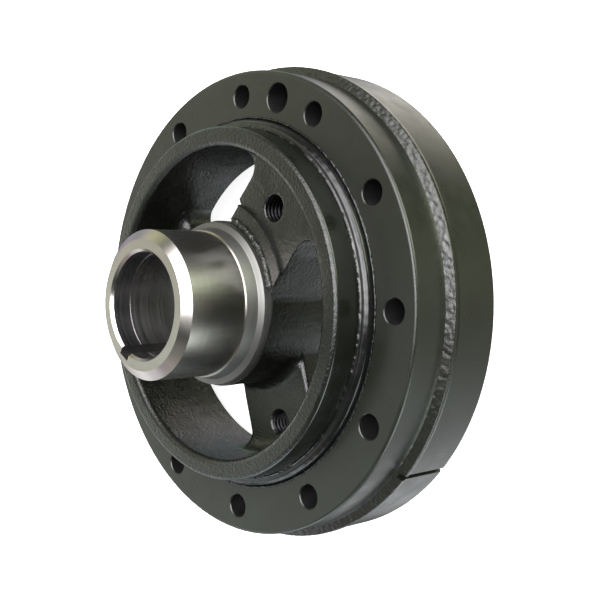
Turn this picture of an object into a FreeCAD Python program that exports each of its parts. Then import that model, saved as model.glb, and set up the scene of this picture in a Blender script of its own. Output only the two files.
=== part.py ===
import FreeCAD, Part

import math
import os
from types import SimpleNamespace

import Sketcher

# A harmonic balancer for the nose of a crankshaft. A cast iron hub carries a ring of bonded
# rubber, and the rubber carries a heavy iron inertia ring. The part lies on the pulley side
# of the ring, with the turned snout pointing up. Lengths are in millimetres, angles in degrees.

SIZES = {
    # Inertia ring
    "ring_height": 35.7,
    "ring_front_diameter": 163.8,
    "ring_rear_diameter": 169.2,
    "ring_corner_chamfer": 1.3,
    "ring_back_chamfer": 0.8,
    "ring_web_height": 19.8,
    "ring_skirt_wall": 12.1,
    "lip_height": 1.0,
    "lip_width": 1.8,
    "lip_position": 21.0,
    "lip_slope": 2.6,
    "lip_front_fillet": 4.0,
    "lip_crest_fillet": 1.0,
    "face_hole_count": 12,
    "face_hole_circle": 146.0,
    "face_hole_diameter": 8.2,
    "face_hole_depth": 13.5,
    "face_hole_chamfer": 0.3,
    "extra_hole_diameter": 10.1,
    "extra_hole_angle": 75.0,
    "timing_mark_angle": -40.0,
    "timing_mark_width": 2.0,
    "timing_mark_depth": 1.7,
    "timing_mark_runout": 1.0,
    # Rubber ring
    "rubber_wall": 3.6,
    "rubber_rear_gap": 0.8,
    "rubber_lip": 3.7,
    "rubber_lip_drop": 0.9,
    "rubber_shoulder": 1.4,
    "rubber_fillet": 1.0,
    # Hub rim
    "rim_diameter": 123.2,
    "rim_proud": 13.2,
    "rim_mouth_diameter": 108.4,
    "rim_foot_diameter": 107.8,
    "rim_outer_draft": 0.3,
    "rim_edge_chamfer": 1.0,
    "rim_mouth_fillet": 2.2,
    # Hub boss and snout
    "bore_diameter": 34.93,
    "bore_chamfer": 0.9,
    "bore_lead_depth": 7.6,
    "bore_lead_relief": 0.2,
    "keyway_width": 4.76,
    "keyway_depth": 3.0,
    "keyway_angle": -119.5,
    "snout_height": 28.8,
    "snout_diameter": 49.9,
    "snout_lead_width": 3.2,
    "snout_lead_height": 2.3,
    "seal_length": 24.0,
    "seal_step": 0.4,
    "shoulder_taper": 1.0,
    "shoulder_height": 0.8,
    "shoulder_flare_height": 1.2,
    "shoulder_diameter": 56.4,
    "shoulder_turned_height": 3.0,
    "boss_diameter": 57.8,
    "washer_seat_diameter": 47.0,
    "washer_seat_depth": 4.0,
    # Spokes and the counterweight on one of them
    "spoke_count": 3,
    "spoke_angle": 47.0,
    "spoke_width": 34.4,
    "spoke_thickness": 11.5,
    "spoke_edge_round": 2.2,
    "rim_root_fillet": 5.5,
    "boss_root_fillet": 4.0,
    "weight_left_width": 15.7,
    "weight_right_width": 17.2,
    "weight_height": 19.3,
    "neck_left_width": 13.0,
    "neck_left_reach": 34.5,
    "neck_left_slope": 1.2,
    "neck_right_width": 19.5,
    "neck_right_reach": 38.0,
    "neck_right_slope": 14.0,
    "collar_diameter": 73.0,
    "collar_height": 1.6,
    "bead_circle": 62.2,
    "bead_diameter": 1.6,
    "bead_end_gap": 3.0,
    # Pulley bolts
    "bolt_circle": 88.0,
    "bolt_hole_diameter": 8.6,
    "bolt_hole_chamfer": 0.5,
}

# How far a cut runs past the surface that it opens, and how far a join is buried.
CUT_MARGIN = 1.0
BURIED = 3.0
SAME_PLACE = 0.02


class Size:
    """A length or angle that keeps both its number and the sheet formula that gives it."""

    def __init__(self, number, formula):
        self.number = number
        self.formula = formula

    @staticmethod
    def of(other):
        return other if isinstance(other, Size) else Size(other, repr(other))

    def __add__(self, other):
        other = Size.of(other)
        return Size(self.number + other.number, f"({self.formula} + {other.formula})")

    def __sub__(self, other):
        other = Size.of(other)
        return Size(self.number - other.number, f"({self.formula} - {other.formula})")

    def __mul__(self, factor):
        return Size(self.number * factor, f"({self.formula} * {factor!r})")

    def __truediv__(self, other):
        other = Size.of(other)
        return Size(self.number / other.number, f"({self.formula} / {other.formula})")

    def __neg__(self):
        return Size(-self.number, f"(-{self.formula})")


doc = FreeCAD.newDocument("HarmonicBalancer")
sheet = doc.addObject("Spreadsheet::Sheet", "Sizes")
for row, (name, number) in enumerate(SIZES.items(), start=1):
    sheet.set(f"A{row}", name)
    sheet.set(f"B{row}", str(number))
    sheet.setAlias(f"B{row}", name)
doc.recompute()
size = SimpleNamespace(**{name: Size(sheet.get(name), f"Sizes.{name}") for name in SIZES})

ZERO = Size(0.0, "0")
FULL_TURN = Size(360.0, "360")

# Heights above the pulley side of the ring
web_back = size.ring_height - size.ring_web_height
hub_back = web_back
rim_top = size.ring_height + size.rim_proud
spoke_top = hub_back + size.spoke_thickness
weight_top = spoke_top + size.weight_height
collar_top = weight_top + size.collar_height
snout_end = rim_top + size.snout_height
seat_height = snout_end - size.seal_length
shoulder_top = rim_top + size.shoulder_height
turned_top = shoulder_top - size.shoulder_flare_height
turned_bottom = turned_top - size.shoulder_turned_height
rubber_top = size.ring_height + size.rubber_lip

# Radii
rim_radius = size.rim_diameter / 2
ring_bore_radius = rim_radius + size.rubber_wall
ring_front_radius = size.ring_front_diameter / 2
ring_rear_radius = size.ring_rear_diameter / 2
skirt_radius = ring_rear_radius - size.ring_skirt_wall
rim_mouth_radius = size.rim_mouth_diameter / 2
rim_foot_radius = size.rim_foot_diameter / 2
snout_radius = size.snout_diameter / 2
shoulder_radius = size.shoulder_diameter / 2
boss_radius = size.boss_diameter / 2
bore_radius = size.bore_diameter / 2


def new_body(name):
    body = doc.addObject("PartDesign::Body", name)
    body.Label = name
    return body


def origin_feature(body, role):
    return next(f for f in body.Origin.OriginFeatures if f.Role == role)


def new_sketch(body, name, plane, height=None, turn=None, turn_axis=(0, 0, 1)):
    """A sketch on one of the body's planes, lifted by height and turned about the part's axis."""
    sketch = body.newObject("Sketcher::SketchObject", name)
    sketch.AttachmentSupport = [(origin_feature(body, plane), "")]
    sketch.MapMode = "FlatFace"
    if height is not None:
        sketch.setExpression("AttachmentOffset.Base.z", height.formula)
    if turn is not None:
        rotation = FreeCAD.Rotation(FreeCAD.Vector(*turn_axis), turn.number)
        sketch.AttachmentOffset = FreeCAD.Placement(sketch.AttachmentOffset.Base, rotation)
        sketch.setExpression("AttachmentOffset.Rotation.Angle", turn.formula)
    return sketch


def bind(sketch, kind, *where_and_size):
    """Add one dimension to a sketch and tie it to the sheet."""
    *where, length = where_and_size
    index = sketch.addConstraint(Sketcher.Constraint(kind, *where, length.number))
    sketch.setExpression(f"Constraints[{index}]", length.formula)


def pin_point(sketch, edge, end, across, up):
    """Hold one end of an edge at its place, measured from the sketch's origin."""
    bind(sketch, "DistanceX", -1, 1, edge, end, across)
    bind(sketch, "DistanceY", -1, 1, edge, end, up)


def draw_outline(sketch, corners):
    """A closed outline of straight edges through the corners, each one held at its sizes."""
    points = [FreeCAD.Vector(across.number, up.number, 0) for across, up in corners]
    count = len(points)
    for i in range(count):
        sketch.addGeometry(Part.LineSegment(points[i], points[(i + 1) % count]), False)
    for i in range(count):
        sketch.addConstraint(Sketcher.Constraint("Coincident", i, 2, (i + 1) % count, 1))
    for i, (across, up) in enumerate(corners):
        pin_point(sketch, i, 1, across, up)


def draw_circle(sketch, across, up, radius):
    centre = FreeCAD.Vector(across.number, up.number, 0)
    circle = Part.Circle(centre, FreeCAD.Vector(0, 0, 1), radius.number)
    index = sketch.addGeometry(circle, False)
    bind(sketch, "Radius", index, radius)
    pin_point(sketch, index, 3, across, up)


def round_turn(body, kind, name, corners):
    """Revolve an outline of (radius, height) corners about the part's axis."""
    sketch = new_sketch(body, name + "Profile", "XZ_Plane")
    draw_outline(sketch, corners)
    feature = body.newObject(kind, name)
    feature.Profile = sketch
    feature.ReferenceAxis = (sketch, ["V_Axis"])
    feature.Angle = 360
    doc.recompute()
    return feature


def ring_of(body, name, original, count, sweep=FULL_TURN):
    """Repeat a feature about the part's axis, evenly over a whole turn or a part of it."""
    pattern = body.newObject("PartDesign::PolarPattern", name)
    pattern.Originals = [original]
    pattern.Axis = (origin_feature(body, "Z_Axis"), [""])
    pattern.setExpression("Angle", sweep.formula)
    pattern.setExpression("Occurrences", count.formula)
    body.Tip = pattern
    doc.recompute()
    return pattern


def edges_at(feature, test):
    """The names of the edges whose every sampled point passes the test."""
    names = []
    for index, edge in enumerate(feature.Shape.Edges, start=1):
        points = edge.discretize(5)
        if all(test(math.hypot(p.x, p.y), p.z, edge) for p in points):
            names.append(f"Edge{index}")
    return names


def near(number, length, tolerance=SAME_PLACE):
    return abs(number - length.number) < tolerance


def circles_at(feature, radius, height):
    return edges_at(feature, lambda r, z, edge: near(r, radius) and near(z, height))


def drilled_edges(feature, diameter, height):
    """The mouths, at one height, of the holes that are drilled beside the axis."""
    return edges_at(feature, lambda r, z, edge: near(z, height)
                    and edge.Curve.TypeId == "Part::GeomCircle"
                    and near(edge.Curve.Radius * 2, diameter)
                    and edge.Curve.Center.x ** 2 + edge.Curve.Center.y ** 2 > 1.0)


def dress(body, kind, name, names, length):
    """Fillet or chamfer the named edges of the body's last feature."""
    if not names:
        raise ValueError(f"{name} finds no edges")
    base = body.Tip
    feature = body.newObject(kind, name)
    feature.Base = (base, names)
    feature.setExpression("Radius" if kind == "PartDesign::Fillet" else "Size", length.formula)
    body.Tip = feature
    doc.recompute()
    return feature


def must_cut(before, feature):
    """Stop if a cut took nothing away."""
    if not feature.Shape.Volume < before - 1.0:
        raise ValueError(f"{feature.Name} cuts nothing")
    return feature


def pocket(body, name, sketch, depth=None, reversed_way=False):
    before = body.Tip.Shape.Volume
    feature = body.newObject("PartDesign::Pocket", name)
    feature.Profile = sketch
    feature.Reversed = reversed_way
    if depth is None:
        feature.Type = "ThroughAll"
    else:
        feature.Type = "Length"
        feature.setExpression("Length", depth.formula)
    doc.recompute()
    return must_cut(before, feature)


def build_inertia_ring():
    """The heavy cast ring: a thick web over a skirt that is open towards the pulley."""
    body = new_body("inertia_ring")
    lip_radius = ring_rear_radius + size.lip_height / 2
    lip_back = size.lip_position - size.lip_width / 2
    lip_front = size.lip_position + size.lip_width / 2
    slope_top = lip_front + size.lip_slope
    ring = round_turn(body, "PartDesign::Revolution", "RingBlank", [
        (skirt_radius, ZERO),
        (ring_rear_radius, ZERO),
        (ring_rear_radius, lip_back - size.lip_height / 2),
        (lip_radius, lip_back),
        (lip_radius, lip_front),
        (ring_front_radius, slope_top),
        (ring_front_radius, size.ring_height),
        (ring_bore_radius, size.ring_height),
        (ring_bore_radius, web_back),
        (skirt_radius, web_back),
    ])
    fillet = dress(body, "PartDesign::Fillet", "LipFrontFillet",
                   circles_at(ring, ring_front_radius, slope_top), size.lip_front_fillet)
    crest = circles_at(fillet, lip_radius, lip_front) + circles_at(fillet, lip_radius, lip_back)
    fillet = dress(body, "PartDesign::Fillet", "LipCrestFillet", crest, size.lip_crest_fillet)
    corner = dress(body, "PartDesign::Chamfer", "FrontCornerChamfer",
                   circles_at(fillet, ring_front_radius, size.ring_height),
                   size.ring_corner_chamfer)
    back = circles_at(corner, ring_rear_radius, ZERO) + circles_at(corner, skirt_radius, ZERO)
    dress(body, "PartDesign::Chamfer", "BackChamfers", back, size.ring_back_chamfer)

    sketch = new_sketch(body, "FaceHoleCentre", "XY_Plane", height=size.ring_height)
    draw_circle(sketch, size.face_hole_circle / 2, ZERO, size.face_hole_diameter / 2)
    hole = pocket(body, "FaceHole", sketch, size.face_hole_depth)
    ring_of(body, "FaceHoles", hole, size.face_hole_count)
    sketch = new_sketch(body, "ExtraHoleCentre", "XY_Plane", height=size.ring_height,
                        turn=size.extra_hole_angle)
    draw_circle(sketch, size.face_hole_circle / 2, ZERO, size.extra_hole_diameter / 2)
    hole = pocket(body, "ExtraHole", sketch, size.face_hole_depth)
    mouths = (drilled_edges(hole, size.face_hole_diameter, size.ring_height)
              + drilled_edges(hole, size.extra_hole_diameter, size.ring_height))
    dress(body, "PartDesign::Chamfer", "FaceHoleChamfers", mouths, size.face_hole_chamfer)

    sketch = new_sketch(body, "TimingMarkEnd", "XY_Plane", turn=size.timing_mark_angle)
    inside = ring_rear_radius - size.timing_mark_depth
    outside = lip_radius + CUT_MARGIN
    half = size.timing_mark_width / 2
    draw_outline(sketch, [(inside, -half), (outside, -half), (outside, half), (inside, half)])
    pocket(body, "TimingMark", sketch, lip_front + size.timing_mark_runout, reversed_way=True)
    return body


def build_rubber_ring():
    """The bonded rubber between hub and ring, which bulges out in a lip over the ring's face."""
    body = new_body("rubber_ring")
    crown_radius = ring_bore_radius - size.rubber_shoulder
    ring = round_turn(body, "PartDesign::Revolution", "RubberBlank", [
        (rim_radius, hub_back + size.rubber_rear_gap),
        (ring_bore_radius, hub_back + size.rubber_rear_gap),
        (ring_bore_radius, size.ring_height),
        (ring_bore_radius - size.rubber_shoulder / 3, rubber_top - size.rubber_lip_drop * 1.3),
        (crown_radius, rubber_top - size.rubber_lip_drop * 0.4),
        (rim_radius, rubber_top),
    ])
    edges = circles_at(ring, ring_bore_radius - size.rubber_shoulder / 3,
                       rubber_top - size.rubber_lip_drop * 1.3)
    dress(body, "PartDesign::Fillet", "RubberLipFillet", edges, size.rubber_fillet)
    return body


def draw_rounded_bar(sketch, half, low, high, corner):
    """The section of a cast bar: flat below, with two rounded corners on top."""
    left, right = -half.number, half.number
    base, top, r = low.number, high.number, corner.number
    corners = [(left, base), (right, base), (right, top - r), (right - r, top),
               (left + r, top), (left, top - r)]
    points = [FreeCAD.Vector(x, y, 0) for x, y in corners]
    half_turn = r * math.sqrt(0.5)
    right_middle = FreeCAD.Vector(right - r + half_turn, top - r + half_turn, 0)
    left_middle = FreeCAD.Vector(left + r - half_turn, top - r + half_turn, 0)
    sketch.addGeometry([
        Part.LineSegment(points[0], points[1]),
        Part.LineSegment(points[1], points[2]),
        Part.Arc(points[2], right_middle, points[3]),
        Part.LineSegment(points[3], points[4]),
        Part.Arc(points[4], left_middle, points[5]),
        Part.LineSegment(points[5], points[0]),
    ], False)
    bottom, right_side, right_arc, top_side, left_arc, left_side = range(6)
    sketch.addConstraint([
        Sketcher.Constraint("Coincident", bottom, 2, right_side, 1),
        Sketcher.Constraint("Coincident", left_side, 2, bottom, 1),
        Sketcher.Constraint("Tangent", right_side, 2, right_arc, 1),
        Sketcher.Constraint("Tangent", right_arc, 2, top_side, 1),
        Sketcher.Constraint("Tangent", top_side, 2, left_arc, 1),
        Sketcher.Constraint("Tangent", left_arc, 2, left_side, 1),
        Sketcher.Constraint("Vertical", right_side),
        Sketcher.Constraint("Vertical", left_side),
        Sketcher.Constraint("Horizontal", top_side),
        Sketcher.Constraint("Equal", right_arc, left_arc),
    ])
    pin_point(sketch, bottom, 1, -half, low)
    pin_point(sketch, bottom, 2, half, low)
    bind(sketch, "Radius", right_arc, corner)
    bind(sketch, "DistanceY", -1, 1, top_side, 1, high)


def pad(body, name, sketch, length):
    feature = body.newObject("PartDesign::Pad", name)
    feature.Profile = sketch
    feature.setExpression("Length", length.formula)
    doc.recompute()
    return feature


def root_edges(feature, wall_low, wall_high, low, high):
    """The edges along which the arms meet a wall about the axis, between two heights."""
    def on_wall(r, z, edge):
        inside = wall_low.number - SAME_PLACE < r < wall_high.number + SAME_PLACE
        return inside and low.number - SAME_PLACE < z < high.number + SAME_PLACE
    names = edges_at(feature, on_wall)
    flat = edges_at(feature, lambda r, z, edge: near(z, low) or near(z, high))
    return [name for name in names if name not in flat]


def angle_beside(offset, radius):
    """The angle from a spoke's middle to where a line beside it crosses a circle."""
    return Size(math.degrees(math.asin(offset.number / radius.number)),
                f"(asin({offset.formula} / {radius.formula}) / 1 deg)")


def cast_boss(body):
    """The solid core on the axis: the rough boss, the turned shoulder and the snout."""
    lead_radius = snout_radius - size.snout_lead_width
    seal_radius = snout_radius + size.seal_step
    round_turn(body, "PartDesign::Revolution", "Boss", [
        (ZERO, hub_back),
        (boss_radius, hub_back),
        (boss_radius, turned_top),
        (shoulder_radius, turned_top),
        (seal_radius + size.shoulder_taper, shoulder_top),
        (seal_radius, seat_height),
        (snout_radius, seat_height),
        (snout_radius, snout_end - size.snout_lead_height),
        (lead_radius, snout_end),
        (ZERO, snout_end),
    ])


def cast_arms(body):
    """Two plain spokes and, on the third, the weight that stands up beside the shoulder."""
    reach = rim_mouth_radius + BURIED
    spoke_pitch = FULL_TURN / size.spoke_count
    sketch = new_sketch(body, "SpokeSection", "YZ_Plane", turn=size.spoke_angle + spoke_pitch,
                        turn_axis=(0, 1, 0))
    draw_rounded_bar(sketch, size.spoke_width / 2, hub_back, spoke_top, size.spoke_edge_round)
    spoke = pad(body, "Spoke", sketch, reach)
    ring_of(body, "Spokes", spoke, size.spoke_count - 1, FULL_TURN - spoke_pitch * 2)

    sketch = new_sketch(body, "WeightPlan", "XY_Plane", height=hub_back, turn=size.spoke_angle)
    draw_outline(sketch, [
        (ZERO, -size.neck_right_width),
        (size.neck_right_reach - size.neck_right_slope, -size.neck_right_width),
        (size.neck_right_reach, -size.weight_right_width),
        (reach, -size.weight_right_width),
        (reach, size.weight_left_width),
        (size.neck_left_reach, size.weight_left_width),
        (size.neck_left_reach - size.neck_left_slope, size.neck_left_width),
        (ZERO, size.neck_left_width),
    ])
    pad(body, "Weight", sketch, collar_top - hub_back)
    collar_radius = size.collar_diameter / 2
    round_turn(body, "PartDesign::Groove", "WeightFacing", [
        (collar_radius, weight_top),
        (rim_radius, weight_top),
        (rim_radius, collar_top + CUT_MARGIN),
        (collar_radius, collar_top + CUT_MARGIN),
    ])


def cast_rim(body):
    """The rim that the rubber grips, with the soft roots that a casting has at its arms."""
    rim = round_turn(body, "PartDesign::Revolution", "Rim", [
        (rim_foot_radius, hub_back),
        (rim_radius, hub_back),
        (rim_radius, rubber_top),
        (rim_radius - size.rim_outer_draft, rim_top),
        (rim_mouth_radius, rim_top),
    ])
    roots = root_edges(rim, rim_foot_radius, rim_mouth_radius, hub_back, weight_top)
    roots = dress(body, "PartDesign::Fillet", "RimRoots", roots, size.rim_root_fillet)
    roots = root_edges(roots, boss_radius, boss_radius, hub_back, collar_top)
    dress(body, "PartDesign::Fillet", "BossRoots", roots, size.boss_root_fillet)


def turn_shoulder(body):
    """The shoulder as turned below the casting's skin, and the rough bead left beside it."""
    bead_radius = size.bead_circle / 2
    bead_half = size.bead_diameter / 2
    relief_radius = bead_radius - bead_half / 2
    round_turn(body, "PartDesign::Groove", "ShoulderRelief", [
        (shoulder_radius, turned_bottom),
        (relief_radius, turned_bottom),
        (relief_radius, turned_top + CUT_MARGIN),
        (shoulder_radius, turned_top),
    ])
    left_end = angle_beside(size.neck_left_width, bead_radius) - size.bead_end_gap
    right_end = angle_beside(size.neck_right_width, bead_radius) - size.bead_end_gap
    middle = size.spoke_angle + (left_end - right_end) / 2
    sketch = new_sketch(body, "BeadSection", "XZ_Plane", turn=middle, turn_axis=(0, 1, 0))
    draw_circle(sketch, bead_radius, collar_top, bead_half)
    bead = body.newObject("PartDesign::Revolution", "Bead")
    bead.Profile = sketch
    bead.ReferenceAxis = (sketch, ["V_Axis"])
    bead.Midplane = True
    bead.setExpression("Angle", (left_end + right_end).formula)
    doc.recompute()


def turn_rim_mouth(body):
    """The rim's top edges: well rounded inside, lightly broken outside."""
    mouth = dress(body, "PartDesign::Fillet", "RimMouthFillet",
                  circles_at(body.Tip, rim_mouth_radius, rim_top), size.rim_mouth_fillet)
    dress(body, "PartDesign::Chamfer", "RimEdgeChamfer",
          circles_at(mouth, rim_radius - size.rim_outer_draft, rim_top), size.rim_edge_chamfer)


def bore_snout(body):
    """The crank bore with its keyway, an eased lead at the tip and a washer seat behind."""
    sketch = new_sketch(body, "BoreCircle", "XY_Plane", height=snout_end)
    draw_circle(sketch, ZERO, ZERO, bore_radius)
    pocket(body, "Bore", sketch)
    sketch = new_sketch(body, "KeywayEnd", "XY_Plane", height=snout_end,
                        turn=size.keyway_angle)
    key_half = size.keyway_width / 2
    key_floor = bore_radius + size.keyway_depth
    draw_outline(sketch, [(bore_radius / 2, -key_half), (key_floor, -key_half),
                          (key_floor, key_half), (bore_radius / 2, key_half)])
    pocket(body, "Keyway", sketch)
    lead_radius = bore_radius + size.bore_lead_relief
    sketch = new_sketch(body, "LeadCircle", "XY_Plane", height=snout_end)
    draw_circle(sketch, ZERO, ZERO, lead_radius)
    pocket(body, "BoreLead", sketch, size.bore_lead_depth)
    sketch = new_sketch(body, "WasherSeatCircle", "XY_Plane", height=hub_back)
    draw_circle(sketch, ZERO, ZERO, size.washer_seat_diameter / 2)
    seat = pocket(body, "WasherSeat", sketch, size.washer_seat_depth, reversed_way=True)
    dress(body, "PartDesign::Chamfer", "BoreChamfer", circles_at(seat, lead_radius, snout_end),
          size.bore_chamfer)


def drill_pulley_holes(body):
    """One threaded hole for the pulley in each spoke, through the weight on the third."""
    sketch = new_sketch(body, "BoltHoleCircle", "XY_Plane", height=rim_top,
                        turn=size.spoke_angle)
    draw_circle(sketch, size.bolt_circle / 2, ZERO, size.bolt_hole_diameter / 2)
    hole = pocket(body, "BoltHole", sketch)
    holes = ring_of(body, "BoltHoles", hole, size.spoke_count)
    mouths = [name for height in (hub_back, spoke_top, weight_top)
              for name in drilled_edges(holes, size.bolt_hole_diameter, height)]
    dress(body, "PartDesign::Chamfer", "BoltHoleChamfers", mouths, size.bolt_hole_chamfer)


def build_hub():
    """The hub, one casting that is turned at its snout, shoulder, rim and pulley face."""
    body = new_body("hub")
    cast_boss(body)
    cast_arms(body)
    cast_rim(body)
    turn_shoulder(body)
    turn_rim_mouth(body)
    bore_snout(body)
    drill_pulley_holes(body)
    return body


bodies = [build_inertia_ring(), build_rubber_ring(), build_hub()]
doc.recompute()

for item in doc.Objects:
    if "Invalid" in item.State or "Error" in item.State:
        raise ValueError(f"{item.Name} failed: {item.State}")
os.makedirs("parts", exist_ok=True)
for body in bodies:
    shape = body.Shape
    if shape.isNull() or not shape.isValid() or len(shape.Solids) != 1:
        raise ValueError(f"{body.Label} is not one valid solid")
for body in bodies:
    body.Shape.exportStep(f"parts/{body.Label}.step")
    box = body.Shape.BoundBox
    print(f"{body.Label}: volume {body.Shape.Volume / 1000:.1f} cm3,"
          f" height {box.ZMin:.2f} to {box.ZMax:.2f}, width {box.XLength:.2f}")
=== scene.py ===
import math

import bmesh
import bpy
from mathutils import Matrix, Vector, noise


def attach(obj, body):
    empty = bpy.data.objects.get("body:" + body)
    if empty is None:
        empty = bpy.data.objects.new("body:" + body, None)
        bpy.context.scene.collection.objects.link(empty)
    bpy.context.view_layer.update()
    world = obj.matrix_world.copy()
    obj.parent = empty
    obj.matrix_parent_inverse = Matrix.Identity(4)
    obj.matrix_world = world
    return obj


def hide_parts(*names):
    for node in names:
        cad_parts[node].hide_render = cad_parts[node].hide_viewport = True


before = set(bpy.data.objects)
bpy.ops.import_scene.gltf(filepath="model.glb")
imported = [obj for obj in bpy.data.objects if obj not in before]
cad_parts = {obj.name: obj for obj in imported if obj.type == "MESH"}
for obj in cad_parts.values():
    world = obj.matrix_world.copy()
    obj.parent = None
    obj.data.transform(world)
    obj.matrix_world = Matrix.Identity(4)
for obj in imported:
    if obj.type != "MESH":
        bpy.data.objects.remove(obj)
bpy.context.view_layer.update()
scene = bpy.context.scene
MM = 0.001

# The inertia ring: one heavy grey iron casting. Its outside, its face and its back are turned,
# then everything is painted black. A rough step of casting skin is left round the side, where
# the two turned diameters meet, and a timing mark is milled across the rear one.
RING_BORE = 65.2
RING_FRONT = 81.9
RING_REAR = 84.6
RING_TOP = 35.7
WEB_BACK = 15.9
SKIRT_RADIUS = 72.5
CORNER_ROUND = 1.3
BACK_CHAMFER = 0.8
STEP_RADIUS = 85.02
STEP_START, STEP_BACK, STEP_CREST, STEP_FOOT = 18.6, 19.4, 20.8, 22.2
STEP_LUMPS = 0.13
HOLE_CIRCLE = 73.0
HOLE_RADIUS = 4.1
HOLE_COUNT = 12
EXTRA_HOLE_RADIUS = 5.05
EXTRA_HOLE_ANGLE = 75.0
HOLE_DEPTH = 13.5
HOLE_MOUTH = 0.3
DRILL_POINT_SLOPE = math.radians(31)
MARK_ANGLE = -40.0
MARK_SIZE = (3.2, 2.0, 23.9)
MARK_RADIUS, MARK_HEIGHT = 84.5, 10.95


def turned_shape(corners, steps, soft=(), rows=()):
    """Spin an outline of (radius, height) corners in mm about the axis.

    soft rounds corners: {index: (reach, segments)}. rows divides edges: {index: count}."""
    shape = bmesh.new()
    verts = [shape.verts.new((r * MM, 0, z * MM)) for r, z in corners]
    edges = [shape.edges.new((verts[i], verts[(i + 1) % len(verts)])) for i in range(len(verts))]
    for index, count in dict(rows).items():
        bmesh.ops.subdivide_edges(shape, edges=[edges[index]], cuts=count - 1)
    for index, (reach, segments) in dict(soft).items():
        corner = Vector((corners[index][0] * MM, 0, corners[index][1] * MM))
        vert = min(shape.verts, key=lambda v: (v.co - corner).length)
        bmesh.ops.bevel(shape, geom=[vert], offset=reach * MM, offset_type="OFFSET",
                        affect="VERTICES", segments=segments, profile=0.5, material=-1)
    bmesh.ops.spin(shape, geom=shape.verts[:] + shape.edges[:], cent=(0, 0, 0), axis=(0, 0, 1),
                   angle=math.tau, steps=steps, use_merge=True, use_duplicate=False)
    bmesh.ops.remove_doubles(shape, verts=shape.verts[:], dist=1e-7)
    bmesh.ops.recalc_face_normals(shape, faces=shape.faces[:])
    return shape


def around_axis(point):
    """A point's distance from the axis and its height, in mm."""
    return math.hypot(point.x, point.y) / MM, point.z / MM


def push_out(vert, distance):
    """Move a vertex away from the axis by a distance in mm."""
    stretch = 1 + distance / (math.hypot(vert.co.x, vert.co.y) / MM)
    vert.co.x *= stretch
    vert.co.y *= stretch


def stored(shape, name):
    """Store a bmesh as an object that is placed by its mesh alone."""
    mesh = bpy.data.meshes.new(name)
    shape.to_mesh(mesh)
    shape.free()
    piece = bpy.data.objects.new(name, mesh)
    scene.collection.objects.link(piece)
    return piece


def shade(piece, crease):
    """Smooth shading with crisp edges, where broad faces set the direction of narrow ones."""
    piece.data.polygons.foreach_set("use_smooth", [True] * len(piece.data.polygons))
    piece.data.set_sharp_from_angle(angle=math.radians(crease))
    even = piece.modifiers.new("even_shading", "WEIGHTED_NORMAL")
    even.mode = "FACE_AREA"
    even.weight = 80
    even.keep_sharp = True


def cut_away(piece, cutter):
    """Take the cutter's shape out of the piece, then throw the cutter away."""
    tool = piece.modifiers.new("cut", "BOOLEAN")
    tool.operation, tool.solver, tool.object = "DIFFERENCE", "EXACT", cutter
    bpy.context.view_layer.update()
    cut_piece = piece.evaluated_get(bpy.context.evaluated_depsgraph_get())
    cut_mesh = bpy.data.meshes.new_from_object(cut_piece)
    piece.modifiers.clear()
    old = piece.data
    piece.data = cut_mesh
    bpy.data.meshes.remove(old)
    bpy.data.objects.remove(cutter)


def drill(radius, angle):
    """A drill over the ring's hole circle, with its point below and its countersink above.

    The depth of a hole is taken to a place part way up the point."""
    point = radius * math.tan(DRILL_POINT_SLOPE)
    tip, side_foot = RING_TOP - HOLE_DEPTH - point * 0.6, RING_TOP - HOLE_DEPTH + point * 0.4
    shape = turned_shape([
        (0, tip), (radius, side_foot), (radius, RING_TOP - HOLE_MOUTH),
        (radius + HOLE_MOUTH, RING_TOP), (radius + HOLE_MOUTH + 1, RING_TOP + 1),
        (0, RING_TOP + 1)], steps=48)
    turn = math.radians(angle)
    bmesh.ops.translate(shape, verts=shape.verts[:], vec=(
        HOLE_CIRCLE * MM * math.cos(turn), HOLE_CIRCLE * MM * math.sin(turn), 0))
    return shape


def add_to(shape, other):
    """Join a second bmesh to the first."""
    mesh = bpy.data.meshes.new("part")
    other.to_mesh(mesh)
    other.free()
    shape.from_mesh(mesh)
    bpy.data.meshes.remove(mesh)


ring_shape = turned_shape([
    (SKIRT_RADIUS + BACK_CHAMFER, 0), (RING_REAR - BACK_CHAMFER, 0), (RING_REAR, BACK_CHAMFER),
    (RING_REAR, STEP_START - 0.5), (RING_REAR, STEP_START), (STEP_RADIUS, STEP_BACK),
    (STEP_RADIUS, STEP_CREST), (RING_FRONT + 0.2, STEP_FOOT), (RING_FRONT, STEP_FOOT + 1.1),
    (RING_FRONT, RING_TOP), (RING_BORE, RING_TOP), (RING_BORE, WEB_BACK),
    (SKIRT_RADIUS, WEB_BACK), (SKIRT_RADIUS, BACK_CHAMFER)],
    steps=1200, soft={9: (CORNER_ROUND, 6), 8: (0.5, 3), 6: (0.7, 4)},
    rows={4: 2, 5: 4, 6: 10})

# The skin of the step is lumpy in its middle, and runs out smoothly towards both diameters.
for vert in ring_shape.verts:
    r, z = around_axis(vert.co)
    if r < RING_FRONT + 0.02 or not STEP_BACK - 0.2 < z < STEP_FOOT + 0.6:
        continue
    share = min(1.0, (z - STEP_BACK + 0.2) / 1.2, (STEP_FOOT + 0.6 - z) / 0.6,
                (r - RING_FRONT) / 0.3)
    rough = noise.noise(vert.co * 800) + 0.2 * noise.noise(vert.co * 1700)
    lump = min(STEP_LUMPS, STEP_LUMPS * rough - 0.02) * share
    push_out(vert, 0.6 * lump)
    vert.co.z += lump * MM

inertia_ring = stored(ring_shape, "painted_inertia_ring")

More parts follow.
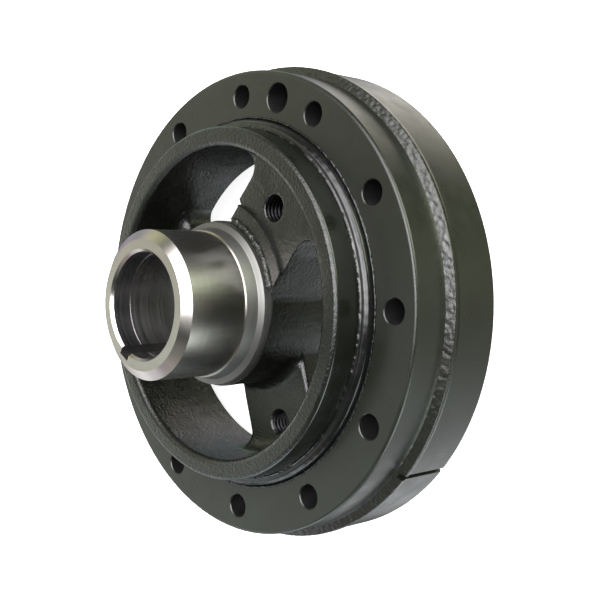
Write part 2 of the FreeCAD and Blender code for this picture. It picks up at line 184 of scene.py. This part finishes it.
hole_tools = drill(EXTRA_HOLE_RADIUS, EXTRA_HOLE_ANGLE)
for hole in range(HOLE_COUNT):
    add_to(hole_tools, drill(HOLE_RADIUS, hole * 360 / HOLE_COUNT))
mark = bmesh.new()
bmesh.ops.create_cube(mark, size=1.0,
                      matrix=Matrix.Diagonal((*(side * MM for side in MARK_SIZE), 1)))
bmesh.ops.translate(mark, verts=mark.verts[:], vec=(MARK_RADIUS * MM, 0, MARK_HEIGHT * MM))
bmesh.ops.rotate(mark, verts=mark.verts[:], cent=(0, 0, 0),
                 matrix=Matrix.Rotation(math.radians(MARK_ANGLE), 3, "Z"))
add_to(hole_tools, mark)
cut_away(inertia_ring, stored(hole_tools, "hole_tools"))
shade(inertia_ring, crease=44)


def new_material(name):
    """A material with its nodes, its links and the shader that they feed."""
    material = bpy.data.materials.new(name)
    material.use_nodes = True
    nodes = material.node_tree.nodes
    return material, nodes, material.node_tree.links, nodes["Principled BSDF"]


def spread_out(nodes, links, value, low, high):
    """Spread the middle of a noise over the span from low to high."""
    spread = nodes.new("ShaderNodeMapRange")
    spread.inputs["From Min"].default_value = 0.3
    spread.inputs["From Max"].default_value = 0.7
    spread.inputs["To Min"].default_value = low
    spread.inputs["To Max"].default_value = high
    links.new(value, spread.inputs["Value"])
    return spread.outputs["Result"]


def blotches(nodes, links, where, scale, detail, low, high):
    """A noise that runs from low to high, as a factor or a roughness."""
    texture = nodes.new("ShaderNodeTexNoise")
    texture.inputs["Scale"].default_value = scale
    texture.inputs["Detail"].default_value = detail
    links.new(where, texture.inputs["Vector"])
    return spread_out(nodes, links, texture.outputs["Fac"], low, high)


def mixed_colour(nodes, links, factor, first, second):
    """A colour that goes from the first to the second as the factor rises."""
    mix = nodes.new("ShaderNodeMix")
    mix.data_type = "RGBA"
    links.new(factor, mix.inputs["Factor"])
    mix.inputs[6].default_value = (*first, 1)
    mix.inputs[7].default_value = (*second, 1)
    return mix.outputs[2]


def bump(nodes, links, height, strength, distance, normal=None):
    """Fine relief on a surface, laid over coarser relief where a normal is given."""
    node = nodes.new("ShaderNodeBump")
    node.inputs["Strength"].default_value = strength
    node.inputs["Distance"].default_value = distance
    links.new(height, node.inputs["Height"])
    if normal is not None:
        links.new(normal, node.inputs["Normal"])
    return node.outputs["Normal"]


def turning_marks(nodes, links, where, scale):
    """Fine lines that run round the axis, on a face as well as on a cylinder."""
    split = nodes.new("ShaderNodeSeparateXYZ")
    links.new(where, split.inputs["Vector"])
    flat = nodes.new("ShaderNodeCombineXYZ")
    links.new(split.outputs["X"], flat.inputs["X"])
    links.new(split.outputs["Y"], flat.inputs["Y"])
    length = nodes.new("ShaderNodeVectorMath")
    length.operation = "LENGTH"
    links.new(flat.outputs["Vector"], length.inputs[0])
    polar = nodes.new("ShaderNodeCombineXYZ")
    links.new(length.outputs["Value"], polar.inputs["X"])
    links.new(split.outputs["Z"], polar.inputs["Y"])
    texture = nodes.new("ShaderNodeTexNoise")
    texture.noise_dimensions = "2D"
    texture.inputs["Scale"].default_value = scale
    texture.inputs["Detail"].default_value = 4
    links.new(polar.outputs["Vector"], texture.inputs["Vector"])
    return texture.outputs["Fac"]


def painted_iron(name, colours, roughness, grain, grain_depth, lines):
    """Black semi-gloss paint: uneven in tone and gloss, over turned or sand-cast iron.

    grain is the scale of its skin and grain_depth the height in mm. lines is the strength of
    the turning marks under the paint."""
    material, nodes, links, shader = new_material(name)
    where = nodes.new("ShaderNodeTexCoord").outputs["Object"]
    tone = blotches(nodes, links, where, scale=45, detail=3, low=0, high=1)
    links.new(mixed_colour(nodes, links, tone, *colours), shader.inputs["Base Color"])
    gloss = blotches(nodes, links, where, scale=160, detail=4,
                     low=roughness[0], high=roughness[1])
    links.new(gloss, shader.inputs["Roughness"])
    skin = blotches(nodes, links, where, scale=grain, detail=4, low=0, high=1)
    normal = bump(nodes, links, skin, strength=0.5, distance=grain_depth * MM)
    if lines:
        marks = turning_marks(nodes, links, where, scale=2600)
        normal = bump(nodes, links, marks, lines, distance=0.02 * MM, normal=normal)
    links.new(normal, shader.inputs["Normal"])
    return material


RING_BLACK = ((0.009, 0.0095, 0.007), (0.012, 0.0135, 0.0105))
ring_paint = painted_iron("black_paint_on_turned_iron", RING_BLACK, roughness=(0.26, 0.36),
                          grain=800, grain_depth=0.03, lines=0.25)
# The paint inside the holes is darker and rougher than on the face: painted shade for the dark
# inside of the holes.
hole_paint_with_painted_shade = painted_iron("paint_with_painted_shade_in_drilled_holes", ((0.003, 0.003, 0.003), (0.005, 0.005, 0.005)),
                          roughness=(0.5, 0.7), grain=900, grain_depth=0.05, lines=0)
step_paint = painted_iron("paint_on_rough_step", RING_BLACK, roughness=(0.2, 0.3),
                          grain=2200, grain_depth=0.05, lines=0)
inertia_ring.data.materials.clear()
for paint in (ring_paint, hole_paint_with_painted_shade, step_paint):
    inertia_ring.data.materials.append(paint)
TURNED, DRILLED, ROUGH_STEP = range(3)
# Faces inside the drilled holes take the darker paint, which stands as painted shade.
for face in inertia_ring.data.polygons:
    r, z = around_axis(face.center)
    if RING_BORE + 1 < r < RING_FRONT - 1.5 and WEB_BACK + 0.5 < z < RING_TOP - 0.35:
        face.material_index = DRILLED
    elif r > RING_FRONT + 0.15 and STEP_BACK < z < STEP_FOOT + 0.3:
        face.material_index = ROUGH_STEP
    else:
        face.material_index = TURNED
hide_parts("inertia_ring")
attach(inertia_ring, "root")

# The rubber ring: moulded in place between hub and inertia ring, to which it is bonded. It
# bulges out in a lip over the ring's face, whose outer edge is uneven, and is painted over
# with the rest.
RIM_OUTER = 61.6
RUBBER_BACK = 16.7
RUBBER_TOP = 39.4
rubber_shape = turned_shape([
    (RIM_OUTER, RUBBER_BACK), (RING_BORE, RUBBER_BACK), (RING_BORE, RING_TOP + 0.02),
    (RING_BORE + 0.55, RING_TOP + 0.02), (RING_BORE + 0.4, RING_TOP + 0.4),
    (RING_BORE - 0.05, RING_TOP + 0.45), (RING_BORE - 0.35, RING_TOP - 0.1),
    (64.65, 37.4), (63.3, 38.75), (62.4, 38.8), (61.95, RUBBER_TOP), (RIM_OUTER, 39.2)],
    steps=900, soft={7: (0.5, 3), 8: (0.5, 3), 9: (0.3, 2), 4: (0.15, 2), 5: (0.15, 2)},
    rows={7: 3, 8: 2, 6: 2})
for vert in rubber_shape.verts:
    r, z = around_axis(vert.co)
    if r > RING_BORE - 0.3 and z > RING_TOP - 0.05:
        ragged = max(-0.3, 0.3 * noise.noise(vert.co * 330) + 0.3 * noise.noise(vert.co * 1100))
        push_out(vert, ragged * 0.7)
        if z > RING_TOP + 0.1:
            vert.co.z += 0.5 * min(0.2, ragged) * MM
    elif z > RING_TOP + 0.5 and r > RIM_OUTER + 0.05:
        sag = 0.10 * noise.noise(vert.co * 90) + 0.05 * noise.noise(vert.co * 420) - 0.08
        if r < RIM_OUTER + 0.5:
            sag += min(0.0, 0.5 * noise.noise(vert.co * 600))
        vert.co.z += sag * MM
        push_out(vert, sag)
rubber_ring = stored(rubber_shape, "bonded_rubber_ring")
shade(rubber_ring, crease=50)
rubber_skin = painted_iron("paint_on_rubber", ((0.004, 0.0045, 0.004), (0.006, 0.0065, 0.006)),
                           roughness=(0.16, 0.28), grain=600, grain_depth=0.02, lines=0)
rubber_ring.data.materials.append(rubber_skin)
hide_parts("rubber_ring")
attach(rubber_ring, "root")

# The hub: one iron casting with boss, three spokes, counterweight and rim. The rough skin of
# the sand mould shows inside, painted black. The snout, the shoulder and the bore are turned
# and stay bare and bright.
SNOUT_END = 77.7
LEAD_START = 70.2
SEAL_FOOT = 53.65
TURNED_BOTTOM = 45.5
TURNED_RADIUS = 28.35
RELIEF_RADIUS = 30.7
WIDEST_BORE = 21
HUB_BACK = 15.9
SPOKE_TOP = 27.4
RIM_TOP = 48.9
RIM_INNER = 52
RIM_CORNERS = ((61.3, 47.9), (60.3, RIM_TOP))
RIM_CORNER_ROUND = 0.35
WEIGHT_TOP = 46.7
COLLAR_TOP = 48.3
WEIGHT_EDGE_ROUND = 0.5
BOLT_CIRCLE = 44.0
BOLT_HOLE = 4.4
BOLT_LAND = 4.9
SPOKE_ANGLE = 47.0
BOLT_PLACES = [Vector((BOLT_CIRCLE * math.cos(math.radians(SPOKE_ANGLE + turn)),
                       BOLT_CIRCLE * math.sin(math.radians(SPOKE_ANGLE + turn))))
               for turn in (0, 120, 240)]
SKIN_FROM_RADIUS, SKIN_TO_HEIGHT = 24.5, 49.3
SKIN_GRAIN, SKIN_WAVES, SKIN_SINK = 0.13, 0.14, 0.06
CHUNK = 0.9
FINE_CHUNK = 0.5


def as_cast(point):
    """How much of the sand mould's skin shows at a point in mm: 0 where it is turned, up to 1."""
    r = math.hypot(point.x, point.y)
    if r < SKIN_FROM_RADIUS or r > RIM_OUTER - 1.4 or point.z > SKIN_TO_HEIGHT:
        return 0.0
    shares = [1.0, (point.z - HUB_BACK) / 1.5]
    if r > RIM_INNER:
        shares.append((RIM_TOP - 0.6 - point.z) / 2.0)
    if r < RELIEF_RADIUS + 0.05:
        shares.append(TURNED_BOTTOM - 0.2 - point.z)
    for place in BOLT_PLACES:
        away = math.hypot(point.x - place.x, point.y - place.y)
        shares.append((away - BOLT_LAND) / 1.2)
    return max(0.0, min(shares))


def circle_edges(shape, radius, height):
    """The edges along one circle about the axis."""
    def on_circle(vert):
        r, z = around_axis(vert.co)
        return abs(r - radius) < 0.06 and abs(z - height) < 0.06
    return [edge for edge in shape.edges if all(on_circle(vert) for vert in edge.verts)]


def moulded_edges(shape):
    """The outward edges of the weight and its collar, which the sand mould leaves blunt."""
    def on_weight(vert):
        r, z = around_axis(vert.co)
        return WEIGHT_TOP - 1.5 < z < COLLAR_TOP + 0.2 and 30.9 < r < 53.5
    return [edge for edge in shape.edges if len(edge.link_faces) == 2
            and all(on_weight(vert) for vert in edge.verts)
            and edge.calc_face_angle_signed() > math.radians(40)]


def on_weight_top(point):
    """Whether a point in mm lies on the weight's pad or on its collar."""
    r = math.hypot(point.x, point.y)
    return WEIGHT_TOP - 1.6 < point.z < COLLAR_TOP + 0.3 and 31.6 < r < RIM_INNER


hub_shape = bmesh.new()
hub_shape.from_mesh(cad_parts["hub"].data)
bmesh.ops.remove_doubles(hub_shape, verts=hub_shape.verts[:], dist=2e-6)
bmesh.ops.dissolve_limit(hub_shape, angle_limit=math.radians(0.4), use_dissolve_boundaries=False,
                         verts=hub_shape.verts[:], edges=hub_shape.edges[:])
rim_edges = [edge for corner in RIM_CORNERS for edge in circle_edges(hub_shape, *corner)]
bmesh.ops.bevel(hub_shape, geom=rim_edges, offset=RIM_CORNER_ROUND * MM, offset_type="OFFSET",
                affect="EDGES", segments=3, profile=0.5, material=-1)
bmesh.ops.bevel(hub_shape, geom=moulded_edges(hub_shape), offset=WEIGHT_EDGE_ROUND * MM,
                offset_type="OFFSET", affect="EDGES", segments=2, profile=0.5, material=-1)
bmesh.ops.triangulate(hub_shape, faces=hub_shape.faces[:])

# Where the skin shows, the longest edges are halved until all are short enough to carry it.
for halving in range(14):
    long_edges = []
    for edge in hub_shape.edges:
        length = edge.calc_length() / MM
        if length < FINE_CHUNK:
            continue
        middle = (edge.verts[0].co + edge.verts[1].co) / (2 * MM)
        wanted = FINE_CHUNK if on_weight_top(middle) else CHUNK
        if length > wanted and as_cast(middle) > 0.02:
            long_edges.append((length, edge))
    if not long_edges:
        break
    longest = max(length for length, edge in long_edges)
    halved = [edge for length, edge in long_edges if length > longest * 0.55]
    bmesh.ops.subdivide_edges(hub_shape, edges=halved, cuts=1)
    bmesh.ops.triangulate(hub_shape, faces=[f for f in hub_shape.faces if len(f.verts) > 3],
                          quad_method="SHORT_EDGE")
hub_shape.normal_update()
moves = []
for vert in hub_shape.verts:
    point = vert.co / MM
    share = as_cast(point)
    if share <= 0:
        continue
    skin = (SKIN_GRAIN * noise.fractal(point * 0.75, 0.8, 2.0, 3)
            + SKIN_WAVES * noise.noise(point * 0.16))
    moves.append((vert, vert.normal * (share * skin - SKIN_SINK * share) * MM))
for vert, move in moves:
    vert.co += move

# Each face is marked with its finish, in the order in which the materials are added below.
CAST, BRIGHT, BORED, LEAD, TAPPED, SHOULDER, RIM = range(7)
for face in hub_shape.faces:
    centre = face.calc_center_median() / MM
    r = math.hypot(centre.x, centre.y)
    beside_axis = abs(face.normal.z) < 0.5
    from_bolt = min(math.hypot(centre.x - place.x, centre.y - place.y) for place in BOLT_PLACES)
    if from_bolt < BOLT_HOLE:
        face.material_index = TAPPED
    elif r < WIDEST_BORE and beside_axis and centre.z > LEAD_START:
        face.material_index = LEAD
    elif r < WIDEST_BORE and beside_axis and centre.z < SNOUT_END - 0.05:
        face.material_index = BORED
    elif centre.z > SEAL_FOOT and r < TURNED_RADIUS:
        face.material_index = BRIGHT
    elif centre.z > TURNED_BOTTOM + 0.02 and r < TURNED_RADIUS:
        face.material_index = SHOULDER
    elif r > RIM_OUTER - 0.5 and centre.z > RUBBER_BACK:
        face.material_index = RIM
    else:
        face.material_index = CAST
hub = stored(hub_shape, "machined_hub")

# The normals that came with the frame's mesh would smooth over the sharp edges.
hub.data.attributes.remove(hub.data.attributes["custom_normal"])
shade(hub, crease=28)


def turned_steel(name, clean, stained, roughness, stain_share):
    """Bare iron off the lathe: fine lines round the axis and faint stains from handling."""
    material, nodes, links, shader = new_material(name)
    where = nodes.new("ShaderNodeTexCoord").outputs["Object"]
    shader.inputs["Metallic"].default_value = 1.0
    lines = turning_marks(nodes, links, where, scale=1800)
    stain = blotches(nodes, links, where, scale=75, detail=3, low=0, high=stain_share)
    links.new(mixed_colour(nodes, links, stain, clean, stained), shader.inputs["Base Color"])
    links.new(spread_out(nodes, links, lines, *roughness), shader.inputs["Roughness"])
    relief = bump(nodes, links, lines, strength=0.02, distance=0.001 * MM)
    links.new(relief, shader.inputs["Normal"])
    shader.inputs["Anisotropic"].default_value = 0.4
    shader.inputs["Anisotropic Rotation"].default_value = 0.25
    grooves = nodes.new("ShaderNodeTangent")
    grooves.direction_type, grooves.axis = "RADIAL", "Z"
    links.new(grooves.outputs["Tangent"], shader.inputs["Tangent"])
    return material


cast_paint = painted_iron("black_paint_on_sand_cast_iron",
                          ((0.004, 0.0045, 0.0035), (0.007, 0.008, 0.006)),
                          roughness=(0.2, 0.34), grain=1100, grain_depth=0.18, lines=0)
rim_paint = painted_iron("black_paint_on_turned_rim",
                         ((0.004, 0.0045, 0.0035), (0.006, 0.007, 0.005)),
                         roughness=(0.20, 0.30), grain=800, grain_depth=0.03, lines=0.25)
bright_steel = turned_steel("turned_iron", (0.56, 0.53, 0.50), (0.36, 0.36, 0.34),
                            roughness=(0.22, 0.25), stain_share=0.5)
bore_steel = turned_steel("bored_iron", (0.32, 0.31, 0.31), (0.16, 0.16, 0.16),
                          roughness=(0.3, 0.45), stain_share=0.8)
lead_steel = turned_steel("eased_lead", (0.34, 0.33, 0.36), (0.20, 0.20, 0.21),
                          roughness=(0.25, 0.35), stain_share=0.8)
# The tapped holes' iron is coloured near black: painted shade for the inside of the holes.
tapped_steel_with_painted_shade = turned_steel("tapped_iron_with_painted_shade", (0.07, 0.065, 0.075), (0.02, 0.02, 0.02),
                            roughness=(0.3, 0.5), stain_share=1.0)
shoulder_steel = turned_steel("turned_shoulder", (0.20, 0.195, 0.19), (0.14, 0.14, 0.13),
                              roughness=(0.46, 0.58), stain_share=0.6)
for material in (cast_paint, bright_steel, bore_steel, lead_steel, tapped_steel_with_painted_shade, shoulder_steel,
                 rim_paint):
    hub.data.materials.append(material)
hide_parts("hub")
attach(hub, "root")

# The rough bead beside the shoulder, left on the weight where the tool stopped short of the
# casting's skin. It is part of the same casting, and painted with it.
BEAD_RADIUS = 30.95
BEAD_HEIGHT = 48.2
BEAD_HALF = 1.1
BEAD_START, BEAD_END = 9.0, 67.5
BEAD_HEART_DEPTH = 0.6
bead_shape = bmesh.new()
bmesh.ops.create_circle(bead_shape, cap_ends=True, segments=20, radius=BEAD_HALF * MM,
                        matrix=Matrix.Rotation(math.radians(90), 4, "X"))
bmesh.ops.translate(bead_shape, verts=bead_shape.verts[:],
                    vec=(BEAD_RADIUS * MM, 0, BEAD_HEIGHT * MM))
bmesh.ops.rotate(bead_shape, verts=bead_shape.verts[:], cent=(0, 0, 0),
                 matrix=Matrix.Rotation(math.radians(BEAD_START), 3, "Z"))
bmesh.ops.spin(bead_shape, geom=bead_shape.verts[:] + bead_shape.edges[:] + bead_shape.faces[:],
               cent=(0, 0, 0), axis=(0, 0, 1), angle=math.radians(BEAD_END - BEAD_START),
               steps=110, use_merge=False, use_duplicate=False)
bmesh.ops.recalc_face_normals(bead_shape, faces=bead_shape.faces[:])
bead_shape.normal_update()

# Towards its ends the bead shrinks into the weight, and its lumps fade.
for vert, normal in [(vert, vert.normal.copy()) for vert in bead_shape.verts]:
    turn = math.atan2(vert.co.y, vert.co.x)
    from_end = max(0.0, min(math.degrees(turn) - BEAD_START, BEAD_END - math.degrees(turn)))
    heart = Vector((BEAD_RADIUS * MM * math.cos(turn), BEAD_RADIUS * MM * math.sin(turn),
                    (BEAD_HEIGHT - BEAD_HEART_DEPTH) * MM))
    vert.co = heart + (vert.co - heart) * min(1.0, 0.25 + 0.25 * from_end)
    lump = min(0.25, 0.6 * noise.noise(vert.co * 700) + 0.35 * noise.noise(vert.co * 1700))
    vert.co += normal * (lump - 0.12) * min(1.0, 0.3 + 0.3 * from_end) * MM
shoulder_bead = stored(bead_shape, "rough_bead")
shade(shoulder_bead, crease=50)
shoulder_bead.data.materials.append(cast_paint)
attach(shoulder_bead, "root")

# The threads in the three holes that hold the pulley: cut with a tap and left bare, their iron
# coloured near black as painted shade for the inside of the holes.
# Each is a ridge that winds up its hole, with a flat crest and a broad root.
THREAD_PITCH = 1.5875
THREAD_ROOT, THREAD_CREST = 4.42, 4.0
ROOT_HALF, CREST_HALF = 0.62, 0.12
THREAD_START = HUB_BACK + 1.3
STEPS_A_TURN = 40
threads = bmesh.new()
for place, top in zip(BOLT_PLACES, (WEIGHT_TOP, SPOKE_TOP, SPOKE_TOP)):
    turns = int((top - THREAD_START - 0.1) / THREAD_PITCH)
    ridge = bmesh.new()
    corners = [ridge.verts.new((r * MM, 0, z * MM))
               for r, z in ((THREAD_ROOT, -ROOT_HALF), (THREAD_CREST, -CREST_HALF),
                            (THREAD_CREST, CREST_HALF), (THREAD_ROOT, ROOT_HALF))]
    ridge.faces.new(corners)
    bmesh.ops.spin(ridge, geom=ridge.verts[:] + ridge.edges[:] + ridge.faces[:], cent=(0, 0, 0),
                   axis=(0, 0, 1), angle=math.tau * turns, steps=STEPS_A_TURN * turns,
                   dvec=(0, 0, THREAD_PITCH * MM / STEPS_A_TURN), use_merge=False,
                   use_duplicate=False)
    bmesh.ops.recalc_face_normals(ridge, faces=ridge.faces[:])
    bmesh.ops.translate(ridge, verts=ridge.verts[:],
                        vec=(place.x * MM, place.y * MM, THREAD_START * MM))
    add_to(threads, ridge)
thread_ridges = stored(threads, "pulley_hole_threads")
shade(thread_ridges, crease=40)
thread_ridges.data.materials.append(tapped_steel_with_painted_shade)
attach(thread_ridges, "root")

# The floor: a plain white sheet that the part lies on, wide enough for every view. It glows a
# little to stay white, and neither lights the part nor keeps light from it.
FLOOR_RADIUS = 3.0
FLOOR_GAP = 0.1
floor_shape = bmesh.new()
bmesh.ops.create_circle(floor_shape, cap_ends=True, segments=96, radius=FLOOR_RADIUS)
bmesh.ops.translate(floor_shape, verts=floor_shape.verts[:], vec=(0, 0, -FLOOR_GAP * MM))
floor = stored(floor_shape, "floor")
floor_paper, _, _, paper_shader = new_material("white_paper")
paper_shader.inputs["Base Color"].default_value = (0.85, 0.85, 0.85, 1)
paper_shader.inputs["Roughness"].default_value = 0.9
paper_shader.inputs["Emission Color"].default_value = (1, 1, 1, 1)
paper_shader.inputs["Emission Strength"].default_value = 0.9
floor.data.materials.append(floor_paper)
floor.visible_glossy = False
floor.visible_diffuse = False
floor.visible_shadow = False

# The camera looks down on the part from beside the snout, near enough to show perspective.
# Its directions and its place over the ring's face are written for a part that lies square
# to it, and turned with the part.
CAMERA_LENS = 59.53
CAMERA_SENSOR = 36
CAMERA_PLACE = (272.35, 4.97, 227.30)
PART_TURN = math.radians(2.02)


def turned_with_part(across, along, up):
    """A direction or a place, turned about the axis as the part is in the photo."""
    return Vector((across * math.cos(PART_TURN) - along * math.sin(PART_TURN),
                   across * math.sin(PART_TURN) + along * math.cos(PART_TURN), up))


camera = bpy.data.objects.new("camera", bpy.data.cameras.new("camera"))
camera.data.sensor_width = CAMERA_SENSOR
camera.data.lens = CAMERA_LENS
camera.data.clip_start = 0.01
right = turned_with_part(0.686386, -0.012807, -0.727125)
upward = turned_with_part(0, 0.999845, -0.017611)
forward = turned_with_part(-0.727237, -0.012088, -0.686280)
stand = (turned_with_part(*CAMERA_PLACE) + Vector((0, 0, RING_TOP))) * MM
camera.matrix_world = Matrix((
    (right.x, upward.x, -forward.x, stand.x), (right.y, upward.y, -forward.y, stand.y),
    (right.z, upward.z, -forward.z, stand.z), (0, 0, 0, 1)))
scene.collection.objects.link(camera)
scene.camera = camera

# The studio: a dim room with soft white lamps and lit paper all round, the strongest lamp
# beside the camera. Each one is a soft round patch of light in the room.
ROOM_GLOW = 0.02
LAMP_EDGE = math.radians(27)
LAMP_CORE = LAMP_EDGE * 0.185
SOFT_LIGHTS = [
    # Direction, and brightness in red, green and blue
    ((-0.77, 0.22, 0.60), (0.42, 0.40, 0.33)),
    ((0.77, 0.05, -0.64), (0.44, 0.44, 0.36)),
    ((0.55, 0.20, 0.81), (10.50, 10.50, 10.70)),
    ((0.24, 0.31, 0.92), (2.00, 2.00, 2.00)),
    ((0.44, 0.77, 0.46), (4.00, 4.00, 4.00)),
    ((0.20, 0.64, 0.74), (5.00, 5.00, 5.00)),
    ((0.15, 0.00, 0.99), (0.80, 0.80, 0.80)),
    ((-0.13, 0.50, 0.86), (1.20, 1.20, 1.20)),
    ((0.81, 0.57, -0.12), (7.88, 8.69, 6.34)),
    ((0.64, -0.75, -0.17), (5.03, 5.52, 5.37)),
    ((-0.21, -0.97, -0.10), (2.29, 2.67, 2.84)),
    ((-0.99, -0.09, 0.14), (2.01, 2.07, 1.87)),
    ((-0.24, 0.50, -0.83), (2.12, 2.03, 1.72)),
    ((-0.15, -0.50, -0.86), (1.52, 1.56, 1.59)),
    ((-0.60, -0.35, 0.72), (0.84, 0.94, 0.85)),
    ((-0.76, -0.59, 0.26), (0.88, 0.87, 0.89)),
    ((0.58, -0.52, -0.63), (0.79, 0.85, 0.79)),
    ((-0.71, 0.49, 0.50), (0.78, 0.81, 0.50)),
    ((-0.50, 0.86, -0.08), (0.63, 0.51, 0.56)),
    ((-0.90, -0.43, -0.03), (0.48, 0.41, 0.45)),
    ((-0.69, -0.70, -0.21), (0.33, 0.44, 0.43)),
    ((-0.75, 0.62, -0.26), (0.21, 0.61, 0.20)),
    ((-0.85, 0.30, -0.43), (0.30, 0.24, 0.29)),
    ((-0.10, -0.75, 0.66), (0.27, 0.27, 0.24)),
    ((-0.89, 0.46, 0.03), (0.25, 0.14, 0.32)),
    ((0.18, -0.64, -0.74), (0.16, 0.17, 0.19)),
    ((-0.54, -0.64, 0.54), (0.09, 0.16, 0.22)),
    ((0.41, 0.24, -0.88), (0.18, 0.19, 0.08)),
    ((-0.31, -0.88, 0.37), (0.23, 0.10, 0.07)),
    ((-0.52, 0.66, -0.54), (0.06, 0.06, 0.22)),
]
scene.view_settings.view_transform = "Standard"
scene.world = bpy.data.worlds.new("white_room")
scene.world.use_nodes = True
room_nodes, room_links = scene.world.node_tree.nodes, scene.world.node_tree.links
looking = room_nodes.new("ShaderNodeTexCoord").outputs["Generated"]
dim_room = room_nodes.new("ShaderNodeCombineXYZ")
for channel in dim_room.inputs:
    channel.default_value = ROOM_GLOW
glow_sum = dim_room.outputs["Vector"]
for direction, brightness in SOFT_LIGHTS:
    facing = room_nodes.new("ShaderNodeVectorMath")
    facing.operation = "DOT_PRODUCT"
    facing.inputs[1].default_value = Vector(direction).normalized()
    room_links.new(looking, facing.inputs[0])
    fall = room_nodes.new("ShaderNodeMapRange")
    fall.interpolation_type = "SMOOTHSTEP"
    fall.inputs["From Min"].default_value = math.cos(LAMP_EDGE)
    fall.inputs["From Max"].default_value = math.cos(LAMP_CORE)
    room_links.new(facing.outputs["Value"], fall.inputs["Value"])
    glow = room_nodes.new("ShaderNodeVectorMath")
    glow.operation = "MULTIPLY_ADD"
    glow.inputs[0].default_value = brightness
    room_links.new(fall.outputs["Result"], glow.inputs[1])
    room_links.new(glow_sum, glow.inputs[2])
    glow_sum = glow.outputs["Vector"]
room_links.new(glow_sum, room_nodes["Background"].inputs["Color"])
